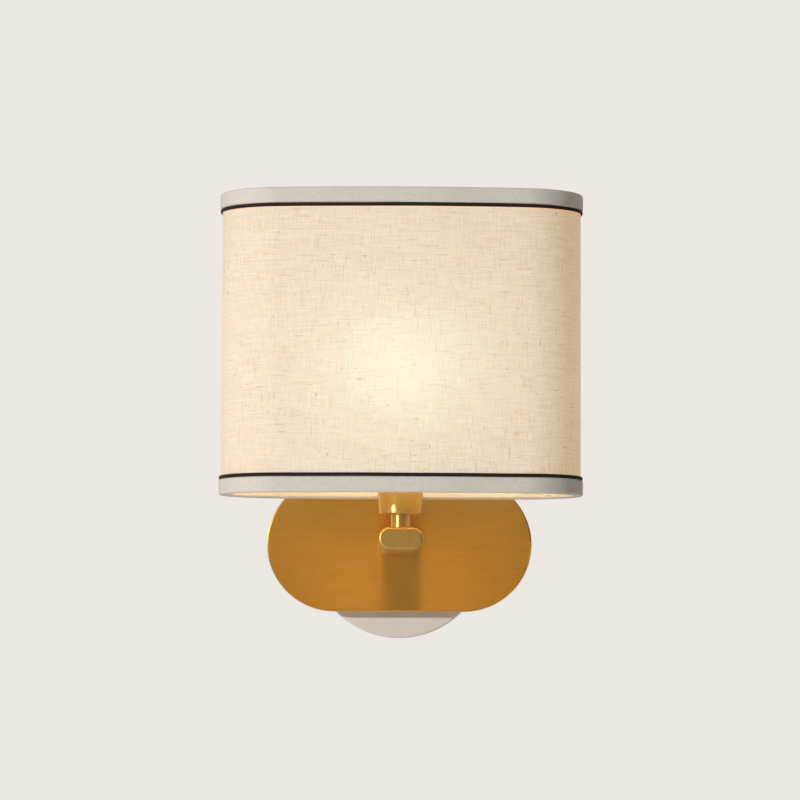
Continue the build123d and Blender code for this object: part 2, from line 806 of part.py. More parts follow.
def arm_lead(terminal_x, side):
    """A lead from its terminal up behind the arm, along inside it and up through the nipple."""
    x = side * lead_pair_spacing / 2
    holder_x = side * terminal_spacing / 2
    points = [
        (terminal_x, -lead_offset, block_top),
        (terminal_x, -lead_offset, block_top + lead_rise),
        (x, -lead_offset, 0),
        (x, -axis_reach, 0),
        (x, -axis_reach, nipple_top - lead_diameter),
        (holder_x, -axis_reach, holder_base - lead_entry),
        (holder_x, -axis_reach, holder_base),
    ]
    return lead_tube(points, [lead_bend, lead_bend, lead_bend, lead_diameter, lead_diameter])


def live_lead():
    return arm_lead(-terminal_pitch, -1)


def neutral_lead():
    return arm_lead(0, 1)


def earth_lead():
    end = earth_screw_z - lug_reach
    middle = (block_top + end) / 2
    points = [
        (terminal_pitch, -lead_offset, block_top),
        (terminal_pitch, -lead_offset, middle - earth_climb / 2),
        (earth_screw_x, -barrel_depth, middle + earth_climb / 2),
        (earth_screw_x, -barrel_depth, end),
    ]
    return lead_tube(points, [earth_bend, earth_bend])


PIECES = [
    wall_disc, mounting_bracket, backplate, grub_screws,
    arm_tube, arm_front_cap, arm_rear_block, arm_screws, arm_washers, wire_bush,
    threaded_nipple, nipple_nut, neck_sleeve, socket_cup,
    holder_cap, holder_body, holder_core, core_pins, screw_shell, centre_contact,
    bulb_glass, bulb_cap, bulb_insulator, bulb_contact, bulb_stem, bulb_filaments,
    ring_nut, fitter_ring, fitter_arms, bottom_ring, top_ring,
    shade_linen, shade_liner, bottom_band, top_band, bottom_piping, top_piping,
    terminal_block, terminal_screws, block_screw, earth_screw, earth_washer, earth_lug,
    live_lead, neutral_lead, earth_lead,
]

os.makedirs("parts", exist_ok=True)
for piece in PIECES:
    export_step(piece(), f"parts/{piece.__name__}.step")
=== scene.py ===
"""Looks for the wall light with an oval linen shade: cloth, tape, cord, brass, paint, light and camera.

Every size is in metres unless its name ends in _MM. The shade's cloth pieces are surfaces on a grid of two
parameters: a length along the shade's outline and a place across the piece.
"""

import math

import bpy
import numpy as np
from mathutils import Matrix, Vector


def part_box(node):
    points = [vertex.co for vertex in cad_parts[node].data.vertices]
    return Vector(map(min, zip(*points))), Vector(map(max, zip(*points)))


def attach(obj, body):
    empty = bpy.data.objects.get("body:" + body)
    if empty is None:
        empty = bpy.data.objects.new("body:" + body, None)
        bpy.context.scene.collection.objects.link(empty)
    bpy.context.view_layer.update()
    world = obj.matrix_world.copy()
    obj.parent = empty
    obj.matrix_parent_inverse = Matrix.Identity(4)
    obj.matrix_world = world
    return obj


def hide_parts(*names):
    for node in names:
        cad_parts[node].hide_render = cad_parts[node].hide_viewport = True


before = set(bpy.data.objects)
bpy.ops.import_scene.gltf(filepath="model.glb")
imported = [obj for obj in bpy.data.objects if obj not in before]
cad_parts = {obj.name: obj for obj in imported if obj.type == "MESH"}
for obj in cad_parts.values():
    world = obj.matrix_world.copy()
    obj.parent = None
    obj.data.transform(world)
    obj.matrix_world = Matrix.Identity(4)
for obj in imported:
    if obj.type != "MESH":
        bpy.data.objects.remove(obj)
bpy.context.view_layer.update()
MM = 0.001


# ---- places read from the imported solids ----
linen_low, linen_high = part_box("shade_linen")
bulb_low, bulb_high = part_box("bulb_glass")
RIM_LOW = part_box("bottom_band")[0].z
RIM_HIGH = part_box("top_band")[1].z
AXIS = Vector(((bulb_low.x + bulb_high.x) / 2, (bulb_low.y + bulb_high.y) / 2, 0))
HALF_WIDTH = (linen_high.x - linen_low.x) / 2
HALF_DEPTH = (linen_high.y - linen_low.y) / 2
LAMP = np.array([AXIS.x, AXIS.y, bulb_high.z - (bulb_high.x - bulb_low.x) / 2])

# ---- the shade's outline: two round ends and two bowed sides that meet them smoothly ----
BOW = 5 * MM
END_RADIUS = HALF_DEPTH - BOW
END_X = HALF_WIDTH - END_RADIUS
SIDE_RADIUS = (END_X**2 + HALF_DEPTH**2 - END_RADIUS**2) / (2 * BOW)
SIDE_BACK = SIDE_RADIUS - HALF_DEPTH
SIDE_TURN = math.atan2(END_X, SIDE_BACK)
TURNS = np.array([0, SIDE_TURN, math.pi - SIDE_TURN,
                  math.pi + SIDE_TURN, 2 * math.pi - SIDE_TURN, 2 * math.pi])
ARCS = np.array([SIDE_RADIUS, END_RADIUS, SIDE_RADIUS, END_RADIUS, SIDE_RADIUS])
LENGTHS = np.concatenate([[0], np.cumsum(ARCS * np.diff(TURNS))])
GIRTH = LENGTHS[-1]

# ---- linen ----
LINEN_MM = 0.6  # thickness
LINEN_LAP = 12 * MM  # the seam at the back, where the linen is glued over itself
LINEN_STEP_MM = 0.65  # how far the upper layer of the seam stands out
LINEN_RIPPLE_MM = 0.08  # height of the larger of its two slow waves
LINEN_WAVES_MM = 37, 29, 17  # along the first wave, up it and along the second, per radian
LINEN_GRID = 440, 72  # columns and rows
GLOW_RISE = 11 * MM  # how far the glow's middle lies over the bulb's
GLOW_SQUEEZE = 1.12  # how much flatter the glow is than round

# ---- folded tape: across its section, 0 is the linen's outer face and heights start at the rim ----
BAND_MM = 10.8  # height of the skirt outside
BAND_LINING_MM = 8.0  # height of the lining inside
BAND_OUT_MM = 1.65  # the skirt's outer face
BAND_IN_MM = -5.45  # the lining's inner face
BAND_THICK_MM = 1.55, 1.2, 1.6  # the skirt, the lining and the turn at the rim
BAND_RADII_MM = 0.6, 1.5, 2.0, 0.55, 0.55, 1.0, 0.5, 0.5  # at the section's corners, in its order
BAND_STEP_MM = 0.8  # between points of the section
BAND_COLUMNS = 640
LINING_IN_MM = 3.4, 4.0  # how far in from the linen's face the lining begins, as a blend
LINING_UP_MM = 0.9, 2.2  # and how far over the rim
PLEAT_MM = 0.14  # how far the lining's gathers stand out
PLEAT_WAVES_MM = 1.35, 5.1  # per radian: the gathers, and the slower wave that they come and go with
SLACK_MM = 0.10  # how far the skirt's edge wanders
SLACK_WAVES_MM = 23, 61
SLACK_FROM_MM = 6.0  # height where that begins
PRESSED_MM = 0.42  # how far the skirt's edge is pressed in
PRESSED_FROM_MM = 9.6
TAPE_LAP = 9 * MM  # where the tape's end comes over its start, measured from the middle of the back
TAPE_SEAM = 3 * MM  # and where that ends on the other side
TAPE_STEP_MM = 0.32  # how far the lap stands out
SPIDER_WIRES = 0, 0.25, 0.5, 0.75  # where the spider's wires end: shares of the outline from its start
SPIDER_NOTCH_MM = 3.0  # half width of the cuts in the lower tape's lining for those wires
SPIDER_FLAT = 0.62  # share of that width that is cut all the way down
SPIDER_FOOT_MM = 1.9  # how far over the rim the cuts end
SPIDER_NEAR_MM = 4.0  # how far to each side of a wire the tape has extra columns

# ---- black cord ----
CORD_MM = 2.6  # height
CORD_LAY_MM = 3.6  # length of one turn of its strands
CORD_OUT_MM = 0.76  # its middle, over the linen's outer face
CORD_HALF_MM = 0.72  # half its depth
CORD_GAP_MM = 0.05  # between tape and cord
CORD_GROOVE = 0.12  # share of its radius that a groove takes
CORD_SWAY_MM = 0.05, 0.03  # heights of the two slow waves it was glued with
CORD_WAVES_MM = 31, 11
CORD_GRID = 2300, 16  # columns and sides


def smooth(value, low, high):
    """0 below low, 1 above high and an S curve between them."""
    t = np.clip((value - low) / (high - low), 0, 1)
    return t * t * (3 - 2 * t)


def around(length, offset):
    """Points and outward directions on the shade's outline, grown by an offset.

    length runs anticlockwise from the middle of the back. Each point is its arc's centre plus the arc's
    radius and the offset times the outward direction, whose angle grows with the length over the radius.
    """
    turn = np.interp(np.mod(length, GIRTH), LENGTHS, TURNS)
    out = np.stack([-np.sin(turn), np.cos(turn)], -1)
    left = (turn > TURNS[1]) & (turn < TURNS[2])
    right = (turn > TURNS[3]) & (turn < TURNS[4])
    front = (turn >= TURNS[2]) & (turn <= TURNS[3])
    centre_x = np.select([left, right], [-END_X, END_X], 0.0)
    centre_y = np.select([left | right, front], [0.0, SIDE_BACK], -SIDE_BACK)
    radius = np.where(left | right, END_RADIUS, SIDE_RADIUS) + offset
    x = AXIS.x + centre_x + radius * out[..., 0]
    y = AXIS.y + centre_y + radius * out[..., 1]
    return x, y, out


def grid_mesh(name, points, cloth, closed_u, closed_v):
    """A mesh from a grid of points, (columns, rows, 3), with a UV map that holds the cloth's own metres.

    closed_u joins the last column to the first, and closed_v the last row.
    """
    columns, rows = points.shape[:2]
    index = np.arange(columns * rows).reshape(columns, rows)
    wide = np.concatenate([index, index[:1]]) if closed_u else index
    full = np.concatenate([wide, wide[:, :1]], 1) if closed_v else wide
    quads = np.stack([full[:-1, :-1], full[1:, :-1], full[1:, 1:], full[:-1, 1:]], -1).reshape(-1, 4)
    u, v = cloth
    u = np.concatenate([u, [GIRTH]]) if closed_u else u
    v = np.concatenate([v, [2 * v[-1] - v[-2]]]) if closed_v else v
    uv = np.stack(np.meshgrid(u, v, indexing="ij"), -1)
    corners = np.stack([uv[:-1, :-1], uv[1:, :-1], uv[1:, 1:], uv[:-1, 1:]], -2).reshape(-1, 2)
    mesh = bpy.data.meshes.new(name)
    mesh.from_pydata(points.reshape(-1, 3).tolist(), [], quads.tolist())
    mesh.uv_layers.new(name="cloth").data.foreach_set("uv", corners.ravel().astype(np.float32))
    mesh.polygons.foreach_set("use_smooth", np.ones(len(quads), bool))
    mesh.update()
    piece = bpy.data.objects.new(name, mesh)
    bpy.context.scene.collection.objects.link(piece)
    return piece


def face_out(piece, inward):
    """Turns every face round where the grid's order made the faces point inwards."""
    if inward:
        piece.data.flip_normals()
    return piece


def rounded(corners, radii, step):
    """A closed outline with its corners rounded: along each corner's arc, then straight to the next corner.

    Returns its points, at most a step apart, and how far along the outline each one is.
    """
    corners = np.array(corners, float)
    before = np.roll(corners, 1, 0) - corners
    after = np.roll(corners, -1, 0) - corners
    before /= np.linalg.norm(before, axis=1)[:, None]
    after /= np.linalg.norm(after, axis=1)[:, None]
    share = np.linspace(0, 1, 7)[:, None]
    pieces = []
    for corner, a, b, radius in zip(corners, before, after, radii):
        half = math.acos(np.clip(a @ b, -1, 1)) / 2
        centre = corner + (a + b) / np.linalg.norm(a + b) * radius / math.sin(half)
        start = corner + a * radius / math.tan(half) - centre
        end = corner + b * radius / math.tan(half) - centre
        swing = math.pi - 2 * half
        arc = (np.sin((1 - share) * swing) * start + np.sin(share * swing) * end) / math.sin(swing)
        pieces.append(centre + arc)
    line = np.concatenate(pieces + [pieces[0][:1]])
    run = np.concatenate([[0], np.cumsum(np.linalg.norm(np.diff(line, axis=0), axis=1))])
    places = np.unique(np.concatenate([run[:-1], np.arange(0, run[-1], step)]))
    keep = np.concatenate([[True], np.diff(places) > step / 6])
    places = places[keep]
    return np.stack([np.interp(places, run, line[:, 0]), np.interp(places, run, line[:, 1])], -1), places


# ---- shade: linen ----
def build_linen():
    """The linen: the shade's outline times a height, with the end lapped over the start at the back.

    The offset is a ripple of two slow waves, about a tenth of a millimetre high, plus the step of the lap.
    The ripple is nil at the rims. lamplight is what the bulb sends straight through, from 0 to 1: the cosine
    over the distance squared, with its peak flattened as the film inside spreads it. The holder shades the
    bulb from below, so the light's middle lies a little over the bulb's, and heights from there count
    GLOW_SQUEEZE times.
    """
    columns = np.linspace(0, GIRTH + LINEN_LAP, LINEN_GRID[0])
    rows = np.linspace(linen_low.z, linen_high.z, LINEN_GRID[1])
    length, height = np.meshgrid(columns, rows, indexing="ij")
    share = (height - linen_low.z) / (linen_high.z - linen_low.z)
    along, upwards, second = np.array(LINEN_WAVES_MM) * MM
    ripple = np.sin(length / along) * np.cos(height / upwards) + np.sin(length / second + 1) * 0.5
    lap = smooth(length, GIRTH - 5 * MM, GIRTH - 1 * MM) * LINEN_STEP_MM * MM
    offset = ripple * LINEN_RIPPLE_MM * MM * np.sin(np.pi * share) + lap
    x, y, out = around(length, offset)
    piece = grid_mesh("linen_drum", np.stack([x, y, height], -1), (columns, rows), False, False)
    reach = (x - LAMP[0]) * out[..., 0] + (y - LAMP[1]) * out[..., 1]
    rise = (height - LAMP[2] - GLOW_RISE) * GLOW_SQUEEZE
    distance = np.sqrt((x - LAMP[0]) ** 2 + (y - LAMP[1]) ** 2 + rise**2)
    direct = (1 - np.exp(-reach * HALF_DEPTH**2 / distance**3)) / (1 - math.exp(-1))
    light = piece.data.attributes.new("lamplight", "FLOAT", "POINT")
    light.data.foreach_set("value", direct.ravel().astype(np.float32))
    wall = piece.modifiers.new("thickness", "SOLIDIFY")
    wall.thickness = LINEN_MM * MM
    wall.offset = -1
    return piece


# ---- shade: folded tape ----
def band_section():
    """The tape's section as a rounded outline: skirt, turn at the rim and lining, then back between them."""
    skirt, lining, turn = BAND_THICK_MM
    corners = [
        (BAND_OUT_MM, BAND_MM), (BAND_OUT_MM, 0), (BAND_IN_MM, 0), (BAND_IN_MM, BAND_LINING_MM),
        (BAND_IN_MM + lining, BAND_LINING_MM), (BAND_IN_MM + lining, turn),
        (BAND_OUT_MM - skirt, turn), (BAND_OUT_MM - skirt, BAND_MM),
    ]
    return rounded(corners, BAND_RADII_MM, BAND_STEP_MM)


def build_band(name, rim, upwards, notches):
    """A tape folded round a rim: its section is carried along the shade's outline.

    The section is an outer skirt, a rounded turn and an inner lining. On the round ends the lining gathers
    in small pleats, a wave of the length whose height grows up the lining. Where the tape's end laps over
    its start, and over the linen's seam, the outer skirt stands out a little. notches cuts the lining down
    at each wire of the spider.
    """
    section, across = band_section()
    columns = np.linspace(0, GIRTH, BAND_COLUMNS, endpoint=False)
    wires = np.array(SPIDER_WIRES) * GIRTH
    if notches:
        near = [wire + np.linspace(-SPIDER_NEAR_MM, SPIDER_NEAR_MM, 27) * MM for wire in wires]
        columns = np.unique(np.round(np.mod(np.concatenate([columns, *near]), GIRTH), 5))
    length = np.repeat(columns[:, None], len(section), 1)
    offset = np.repeat(section[None, :, 0], len(columns), 0)
    height = np.repeat(section[None, :, 1], len(columns), 0)
    is_lining = smooth(-offset, *LINING_IN_MM) * smooth(height, *LINING_UP_MM)
    ends = smooth(np.abs(np.interp(length, LENGTHS, TURNS) % math.pi - math.pi / 2), SIDE_TURN, 0)
    pleat = np.sin(length / (PLEAT_WAVES_MM[0] * MM)) * np.sin(length / (PLEAT_WAVES_MM[1] * MM) + 2)
    offset = offset + is_lining * ends * pleat * PLEAT_MM * smooth(height, 1.5, BAND_LINING_MM)
    if notches:
        away = np.abs(np.mod(length[..., None] - wires + GIRTH / 2, GIRTH) - GIRTH / 2).min(-1) / MM
        cut = 1 - smooth(away, SPIDER_NOTCH_MM * SPIDER_FLAT, SPIDER_NOTCH_MM)
        height = height - is_lining * cut * np.clip(height - SPIDER_FOOT_MM, 0, None)
    outside = smooth(offset, -0.2, 0.8)
    slack = np.sin(length / (SLACK_WAVES_MM[0] * MM)) * np.cos(length / (SLACK_WAVES_MM[1] * MM) + 1)
    edge = outside * smooth(height, SLACK_FROM_MM, BAND_MM)
    height = height + edge * slack * SLACK_MM
    lap = smooth(length, GIRTH - TAPE_LAP, GIRTH - TAPE_LAP + 0.6 * MM) + smooth(-length, -TAPE_SEAM, 0)
    offset = offset + outside * (lap * TAPE_STEP_MM - PRESSED_MM * smooth(height, PRESSED_FROM_MM, BAND_MM))
    x, y, _ = around(length, offset * MM)
    z = rim + (height * MM if upwards else -height * MM)
    piece = grid_mesh(name, np.stack([x, y, z], -1), (columns, across * MM), True, True)
    return face_out(piece, not upwards)


# ---- shade: black cord ----
def build_cord(name, rim, upwards):
    """The black cord beside a tape: an oval of three twisted strands carried along the shade's outline.

    The oval's radius falls by the share CORD_GROOVE where |cos(1.5 t)| is nil and grows back with its square
    root. There t is the angle round the oval less the turn of the lay, so that three grooves run round it
    like a screw's thread.
    """
    middle = BAND_MM + CORD_MM / 2 + CORD_GAP_MM
    columns = np.linspace(0, GIRTH, CORD_GRID[0], endpoint=False)
    sides = np.linspace(0, 2 * math.pi, CORD_GRID[1], endpoint=False)
    length, angle = np.meshgrid(columns, sides, indexing="ij")
    lays = round(GIRTH / (CORD_LAY_MM * MM))
    ridge = np.abs(np.cos(1.5 * (angle - 2 * math.pi * lays * length / GIRTH)))
    size = 1 - CORD_GROOVE + CORD_GROOVE * np.sqrt(ridge)
    first, second = (np.sin(length / (wave * MM) + start) for wave, start in zip(CORD_WAVES_MM, (0, 2)))
    sway = first * CORD_SWAY_MM[0] + second * CORD_SWAY_MM[1]
    offset = CORD_OUT_MM + CORD_HALF_MM * size * np.cos(angle)
    height = middle + CORD_MM / 2 * size * np.sin(angle) + sway
    x, y, _ = around(length, offset * MM)
    z = rim + (height * MM if upwards else -height * MM)
    across = sides * (CORD_HALF_MM + CORD_MM / 2) / 2 * MM
    piece = grid_mesh(name, np.stack([x, y, z], -1), (columns, across), True, True)
    return face_out(piece, upwards)


# ---- materials: what all of them use ----
EASED = {"interpolation_type": "SMOOTHSTEP"}  # a range that eases in and out and holds at both ends


def linear(code):
    """An sRGB hex colour as linear red, green and blue, with a full alpha."""
    parts = np.array([int(code[place:place + 2], 16) for place in (1, 3, 5)]) / 255
    red, green, blue = np.where(parts <= 0.04045, parts / 12.92, ((parts + 0.055) / 1.055) ** 2.4)
    return float(red), float(green), float(blue), 1.0


def give(tree, node, inputs):
    """Gives a node's inputs, by name or place, a value or a link each."""
    for key, value in inputs.items() if isinstance(inputs, dict) else enumerate(inputs):
        if isinstance(value, bpy.types.NodeSocket):
            tree.links.new(value, node.inputs[key])
        else:
            node.inputs[key].default_value = value


def add(tree, kind, inputs=(), **settings):
    """Adds one node to a tree with its settings and its inputs' values or links, and returns its outputs."""
    node = tree.nodes.new("ShaderNode" + kind)
    for key, value in settings.items():
        setattr(node, key, value)
    give(tree, node, inputs)
    return node.outputs


def new_finish(name):
    """A new material, its node tree and its Principled shader."""
    material = bpy.data.materials.new(name)
    material.use_nodes = True
    return material, material.node_tree, material.node_tree.nodes["Principled BSDF"]


def grain(tree, place, size_mm, detail=2.0, shift=0.0):
    """Noise from 0 to 1 whose grains have the given sizes in millimetres along each coordinate.

    Another shift takes it from another part of the noise, so that two patterns don't match.
    """
    scale = tuple(1000 / size for size in size_mm)
    mapped = add(tree, "Mapping", {"Vector": place, "Scale": scale, "Location": (shift,) * 3})[0]
    return add(tree, "TexNoise", {"Vector": mapped, "Scale": 1.0, "Detail": detail})["Fac"]


def stained(tree, under, over, pattern, low, high, most=1.0):
    """A colour with another one over it: none where the pattern is at low or less, the most at high."""
    share = add(tree, "MapRange", [pattern, low, high, 0, most], **EASED)[0]
    return add(tree, "Mix", {0: share, 6: under, 7: over}, data_type="RGBA")[2]


# ---- material: linen ----
THREAD_MM = 0.9  # between threads: the cloth's are 0.7 apart, too fine to show
SLUB_MM = 0.8  # width of a faint thick thread
SHOWS_FAINT = 0.16, 0.46  # how much the faint threads show in plain and in slubby parts of the cloth
SHOWS_DARK = 0.75  # how much the dark slubs show
THROUGH_WEAVE = 0.93, 1.04  # share of the light that comes through on threads and between them
FAINT_STOPS = 0.55  # share of it that a faint thread stops
DARK_STOPS = 0.7  # and a dark slub
GLOW_EVEN = "#AF9375"  # warm light that the film inside spreads over the whole shade
GLOW_DIRECT = "#7C8B71"  # light straight from the bulb, where it is brightest
GLOW_LEAK = "#813F00"  # reddish light along the glue under the upper cord
GLOW_LOST = "#19273F"  # what the round ends lack of all that
LEAK_MM = 1.6  # how far down the leak shows


def linen_patterns(tree, cloth):
    """The linen's patterns: its weave, its faint threads, its dark slubs and its clouding.

    The first three are noise with grains a thread wide and some millimetres long, once along the warp and
    once along the weft. Faint threads and dark slubs are the rare, high parts of theirs. The clouding is
    noise with grains some centimetres wide.
    """
    warp = grain(tree, cloth, (THREAD_MM, 14, 1), 2)
    weft = grain(tree, cloth, (16, THREAD_MM, 1), 2, 7.3)
    weave = add(tree, "Math", [warp, weft], operation="ADD")[0]
    cloud = grain(tree, cloth, (30, 24, 1), 3, 3.1)
    threads = []
    for size_mm, shift, low, high in (
        ((SLUB_MM, 12, 1), 11.7, 0.585, 0.74),  # faint, along the warp
        ((14, SLUB_MM, 1), 5.9, 0.575, 0.73),  # faint, along the weft
        ((THREAD_MM, 6, 1), 21.3, 0.73, 0.83),  # dark, along the warp
        ((9, THREAD_MM, 1), 15.1, 0.715, 0.815),  # dark, along the weft
    ):
        noise = grain(tree, cloth, size_mm, 1, shift)
        threads.append(add(tree, "MapRange", [noise, low, high, 0, 1], **EASED)[0])
    faint = add(tree, "Math", threads[:2], operation="MAXIMUM")[0]
    dark = add(tree, "Math", threads[2:], operation="MAXIMUM")[0]
    slubby = grain(tree, cloth, (45, 35, 1), 2, 31.0)
    shows = add(tree, "MapRange", [slubby, 0.3, 0.7, *SHOWS_FAINT], **EASED)[0]
    faint = add(tree, "Math", [faint, shows], operation="MULTIPLY")[0]
    dark = add(tree, "Math", [dark, SHOWS_DARK], operation="MULTIPLY")[0]
    return weave, faint, dark, cloud


def linen_glow(tree, cloth, weave, faint, dark):
    """The lamp's light as it leaves the linen.

    It is an even part, plus lamplight times a second colour, plus the leak under the upper cord, less what
    the round ends lack. All that comes through between threads better than on them, and worst on slubs.
    """
    lamp = add(tree, "Attribute", attribute_name="lamplight")["Fac"]
    height = add(tree, "SeparateXYZ", [cloth])["Y"]
    cord_edge = float(RIM_HIGH) - (BAND_MM + CORD_MM + 2 * CORD_GAP_MM) * MM
    leak = add(tree, "MapRange", [height, cord_edge - LEAK_MM * MM, cord_edge, 0, 1], **EASED)[0]
    place = add(tree, "TexCoord")["Object"]
    from_middle = add(tree, "Math", [add(tree, "SeparateXYZ", [place])["X"]], operation="ABSOLUTE")[0]
    at_ends = add(tree, "MapRange", [from_middle, END_X * 0.9, HALF_WIDTH, 0, 1], **EASED)[0]
    glow = linear(GLOW_EVEN)[:3]
    for colour, share, step in (
        (GLOW_DIRECT, lamp, "ADD"),
        (GLOW_LEAK, leak, "ADD"),
        (GLOW_LOST, at_ends, "SUBTRACT"),
    ):
        part = add(tree, "VectorMath", {0: linear(colour)[:3], "Scale": share}, operation="SCALE")[0]
        glow = add(tree, "VectorMath", [glow, part], operation=step)[0]
    through = add(tree, "MapRange", [weave, 0.7, 1.3, *THROUGH_WEAVE], **EASED)[0]
    through = add(tree, "Math", [faint, -FAINT_STOPS, through], operation="MULTIPLY_ADD")[0]
    through = add(tree, "Math", [dark, -DARK_STOPS, through], operation="MULTIPLY_ADD")[0]
    return add(tree, "VectorMath", {0: glow, "Scale": through}, operation="SCALE")[0]


def slubbed_linen():
    """Natural flax linen, plain woven and pressed on film: matt and oatmeal coloured, with thick brown
    threads that show dark against the bulb. Threads are 0.7 mm apart in the cloth and are drawn 0.9 mm
    apart, so that they show."""
    material, tree, shader = new_finish("slubbed_linen")
    cloth = add(tree, "UVMap", uv_map="cloth")[0]
    weave, faint, dark, cloud = linen_patterns(tree, cloth)
    body = stained(tree, linear("#BAB8B5"), linear("#C8C6C3"), weave, 0.7, 1.3)
    body = stained(tree, body, linear("#C1B9AE"), cloud, 0.3, 0.7, 0.4)
    body = add(tree, "Mix", {0: faint, 6: body, 7: linear("#BFA47A")}, data_type="RGBA")[2]
    body = add(tree, "Mix", {0: dark, 6: body, 7: linear("#8C6238")}, data_type="RGBA")[2]
    relief = add(tree, "Math", [faint, 0.8, weave], operation="MULTIPLY_ADD")[0]
    give(tree, shader, {
        "Base Color": body, "Roughness": 0.88, "Specular IOR Level": 0.2, "Sheen Weight": 0.08,
        "Sheen Roughness": 0.5, "Emission Color": linen_glow(tree, cloth, weave, faint, dark),
        "Emission Strength": 1.0,
        "Normal": add(tree, "Bump", {"Height": relief, "Distance": 0.10 * MM, "Strength": 0.35})[0]})
    return material


# ---- materials: tape and cord ----
def cotton_tape():
    """Bleached cotton tape, closely woven and folded: matt white with a fine rib across it. The weave's
    threads are 0.3 mm apart in the tape and 0.8 mm here, so that they show."""
    material, tree, shader = new_finish("cotton_tape")
    cloth = add(tree, "UVMap", uv_map="cloth")[0]
    rib = grain(tree, cloth, (0.8, 5, 1), 2)
    along = grain(tree, cloth, (5, 0.8, 1), 2, 4.4)
    soft = grain(tree, cloth, (30, 9, 1), 2, 9.2)
    weave = add(tree, "Math", [rib, along], operation="ADD")[0]
    body = stained(tree, linear("#DFDAD0"), linear("#E8E3D9"), weave, 0.75, 1.25)
    body = stained(tree, body, linear("#D9D4CA"), soft, 0.4, 0.75, 0.5)
    give(tree, shader, {
        "Base Color": body, "Roughness": 0.9, "Specular IOR Level": 0.2, "Sheen Weight": 0.15,
        "Sheen Roughness": 0.45,
        "Normal": add(tree, "Bump", {"Height": weave, "Distance": 0.05 * MM, "Strength": 0.25})[0]})
    return material


def twisted_cord():
    """Dyed cotton cord, three strands twisted: matt, near black, and brownish where the strands rub. Its
    fibres are far finer than the 0.35 mm drawn here, so that they show."""
    material, tree, shader = new_finish("twisted_cord")
    cloth = add(tree, "UVMap", uv_map="cloth")[0]
    fibre = grain(tree, cloth, (0.9, 0.35, 1), 3)
    worn = grain(tree, cloth, (9, 2, 1), 2, 6.1)
    body = stained(tree, linear("#15130F"), linear("#2B2622"), fibre, 0.35, 0.7)
    body = stained(tree, body, linear("#3A2E27"), worn, 0.6, 0.8, 0.4)
    give(tree, shader, {
        "Base Color": body, "Roughness": 0.82, "Specular IOR Level": 0.3, "Sheen Weight": 0.1,
        "Sheen Roughness": 0.4,
        "Normal": add(tree, "Bump", {"Height": fibre, "Distance": 0.08 * MM, "Strength": 0.6})[0]})
    return material


# ---- materials: metals ----
ALONG_X = 0.02, 0, 0  # the lay of a flat face, added where turning gives none


def metal(name, colour, deep, roughness, size_mm, depth_mm, streak=0.35, values=(), lay=None):
    """A metal finish: fine grain of the given sizes, which varies the colour, the roughness and the relief.

    streak is how much of the deeper colour the grain brings. lay is the axis that brushing or turning runs
    round: the shader's tangent is the normal crossed with it, and a flat face square to that axis is brushed
    along X.
    """
    material, tree, shader = new_finish(name)
    place = add(tree, "TexCoord")["Object"]
    fine = grain(tree, place, size_mm, 3)
    broad = grain(tree, place, tuple(size * 5 for size in size_mm), 2, 8.8)
    body = stained(tree, linear(colour), linear(deep), fine, 0.3, 0.7, streak)
    body = stained(tree, body, linear(deep), broad, 0.35, 0.7, streak * 0.6)
    rough = [fine, 0.25, 0.75, roughness * 0.9, roughness * 1.1]
    give(tree, shader, {
        "Metallic": 1.0, **dict(values), "Base Color": body,
        "Roughness": add(tree, "MapRange", rough, **EASED)[0],
        "Normal": add(tree, "Bump", {"Height": fine, "Distance": depth_mm * MM, "Strength": 0.4})[0]})
    if lay:
        normal = add(tree, "NewGeometry")["Normal"]
        tangent = add(tree, "VectorMath", [normal, lay], operation="CROSS_PRODUCT")[0]
        tangent = add(tree, "VectorMath", [tangent, ALONG_X], operation="ADD")[0]
        give(tree, shader, {"Tangent": tangent})
    return material


# Brass sheet, pressed and then brushed from side to side: deep gold, with a shine that smears up and down.
# Its brush lines are 0.1 mm apart in the metal and 0.6 mm here, so that they show.
brushed_brass = metal(
    "brushed_brass", "#F8C260", "#EAB04E", roughness=0.52, size_mm=(26, 26, 0.6), depth_mm=0.004, streak=0.25,
    values={"Anisotropic": 0.95, "Anisotropic Rotation": 0.25}, lay=(0, 1, 0))
# Drawn brass, blasted to a satin and lacquered: a soft, even shine. Its pits are drawn 1.2 mm wide to show.
satin_brass = metal(
    "satin_brass", "#DCAE5C", "#D0A250", roughness=0.45, size_mm=(1.2, 1.2, 1.2), depth_mm=0.006, streak=0.25,
    values={"Coat Weight": 0.6, "Coat Roughness": 0.25})
# Brass turned on a lathe and lacquered: upright streaks of light across rings, drawn 0.8 mm apart to show.
turned_brass = metal(
    "turned_brass", "#F0C668", "#E6BA5A", roughness=0.32, size_mm=(30, 30, 0.8), depth_mm=0.002, streak=0.2,
    values={"Anisotropic": 0.9, "Anisotropic Rotation": 0.25, "Coat Weight": 0.7, "Coat Roughness": 0.3},
    lay=(0, 0, 1))
# Brass turned, polished and lacquered: a clear upright highlight, with hardly any grain and no relief.
polished_brass = metal(
    "polished_brass", "#F0C67C", "#E6B86A", roughness=0.41, size_mm=(30, 30, 9), depth_mm=0.0, streak=0.1,
    values={"Anisotropic": 0.8, "Anisotropic Rotation": 0.25, "Coat Weight": 1.0, "Coat Roughness": 0.12},
    lay=(0, 0, 1))
# Bare brass, stamped or rolled: paler and shinier than the brushed pan.
contact_brass = metal(
    "contact_brass", "#D8B46C", "#C09A50", roughness=0.28, size_mm=(2, 2, 2), depth_mm=0.01)
# Steel, zinc plated and passivated: cool grey with cloudy patches.
zinc_plate = metal(
    "zinc_plated_steel", "#B8BCBF", "#9CA1A6", roughness=0.38, size_mm=(3, 3, 3), depth_mm=0.01, streak=0.5)
